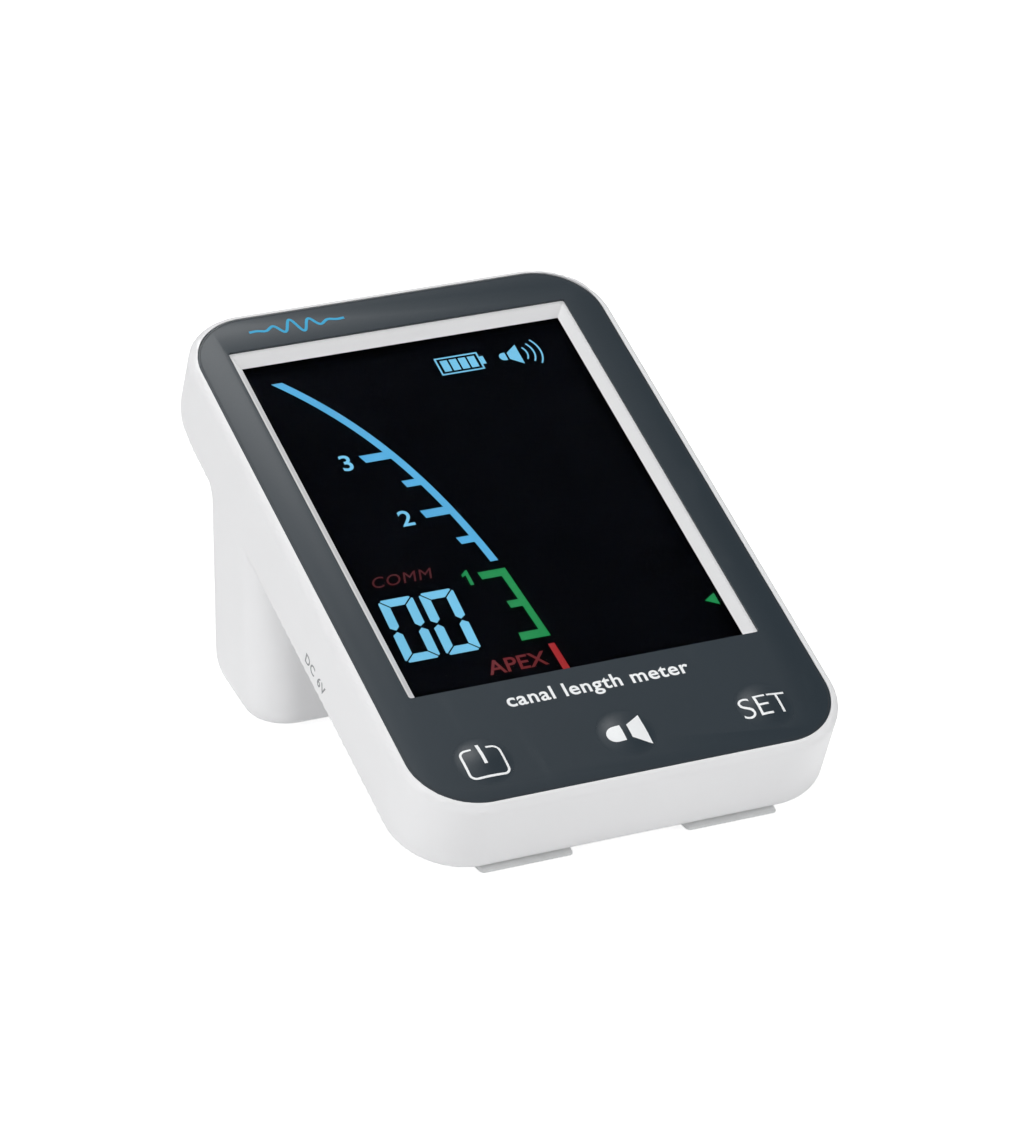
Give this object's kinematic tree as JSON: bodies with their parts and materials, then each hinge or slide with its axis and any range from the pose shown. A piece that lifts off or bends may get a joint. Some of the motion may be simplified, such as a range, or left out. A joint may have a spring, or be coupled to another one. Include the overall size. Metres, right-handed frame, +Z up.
{
  "type": "dental apex locator",
  "caption": "Desktop root canal apex locator: a sloped display head with a dark faceplate and touch keys on a battery leg with a rear lid.",
  "frame": {"origin": "middle of the footprint, on the table", "axes": "+X to the user's right, +Y from the keys to the back of the head, +Z up"},
  "size_m": [0.0824, 0.1172, 0.0644],
  "materials": {
    "white_abs": "satin moulded",
    "slate_film": "fine matt film",
    "clear_acrylic": "polished",
    "lcd_black": "polished",
    "milky_plastic": "satin",
    "soft_rubber": "matt",
    "board_green": "solder mask",
    "dark_plastic": "fine matt",
    "switch_steel": "satin",
    "nickel_plate": "bright",
    "cell_jacket": "gloss film",
    "red_wire": "satin",
    "black_wire": "satin"
  },
  "bodies": {
    "root": {"main_housing": "white_abs", "bottom_cover": "white_abs", "faceplate_overlay": "slate_film", "display_window": "clear_acrylic", "lcd_glass": "lcd_black", "lcd_frame": "milky_plastic", "lcd_backlight": "milky_plastic", "lcd_contact_strip": "soft_rubber", "front_foot_left": "soft_rubber", "front_foot_right": "soft_rubber", "rear_foot_left": "soft_rubber", "rear_foot_right": "soft_rubber", "main_board": "board_green", "controller_chip": "dark_plastic", "buzzer": "dark_plastic", "battery_holder": "dark_plastic", "dc_jack": "dark_plastic", "lead_socket": "dark_plastic", "power_switch_body": "switch_steel", "volume_switch_body": "switch_steel", "set_switch_body": "switch_steel", "cover_screw_1": "switch_steel", "cover_screw_2": "switch_steel", "cover_screw_3": "switch_steel", "cover_screw_4": "switch_steel", "board_screw_1": "switch_steel", "board_screw_2": "switch_steel", "board_screw_3": "switch_steel", "board_screw_4": "switch_steel", "contact_plate_left": "nickel_plate", "contact_plate_right": "nickel_plate", "dc_jack_pin": "nickel_plate", "cell_spring_1": "nickel_plate", "cell_spring_2": "nickel_plate", "cell_spring_3": "nickel_plate", "cell_spring_4": "nickel_plate", "battery_cell_1": "cell_jacket", "battery_cell_2": "cell_jacket", "battery_cell_3": "cell_jacket", "battery_cell_4": "cell_jacket", "battery_lead_red": "red_wire", "battery_lead_black": "black_wire", "socket_lead": "black_wire"},
    "power_key": {"power_key_dome": "slate_film", "power_key_plunger": "white_abs", "power_switch_stem": "dark_plastic"},
    "volume_key": {"volume_key_dome": "slate_film", "volume_key_plunger": "white_abs", "volume_switch_stem": "dark_plastic"},
    "set_key": {"set_key_dome": "slate_film", "set_key_plunger": "white_abs", "set_switch_stem": "dark_plastic"},
    "battery_lid": {"battery_door": "white_abs"}
  },
  "joints": [
    {"name": "power_key_press", "type": "slide", "parent": "root", "child": "power_key", "axis": [0, 0.4051, -0.9143], "range_m": [0, 0.00025], "stiffness_N_per_m": 6000, "springref_m": -0.0001},
    {"name": "volume_key_press", "type": "slide", "parent": "root", "child": "volume_key", "axis": [0, 0.4051, -0.9143], "range_m": [0, 0.00025], "stiffness_N_per_m": 6000, "springref_m": -0.0001},
    {"name": "set_key_press", "type": "slide", "parent": "root", "child": "set_key", "axis": [0, 0.4051, -0.9143], "range_m": [0, 0.00025], "stiffness_N_per_m": 6000, "springref_m": -0.0001},
    {"name": "battery_lid_hinge", "type": "hinge", "parent": "root", "child": "battery_lid", "pos_m": [0, 0.0438, 0.0074], "axis": [-1, 0, 0], "range_deg": [0, 75]}
  ]
}
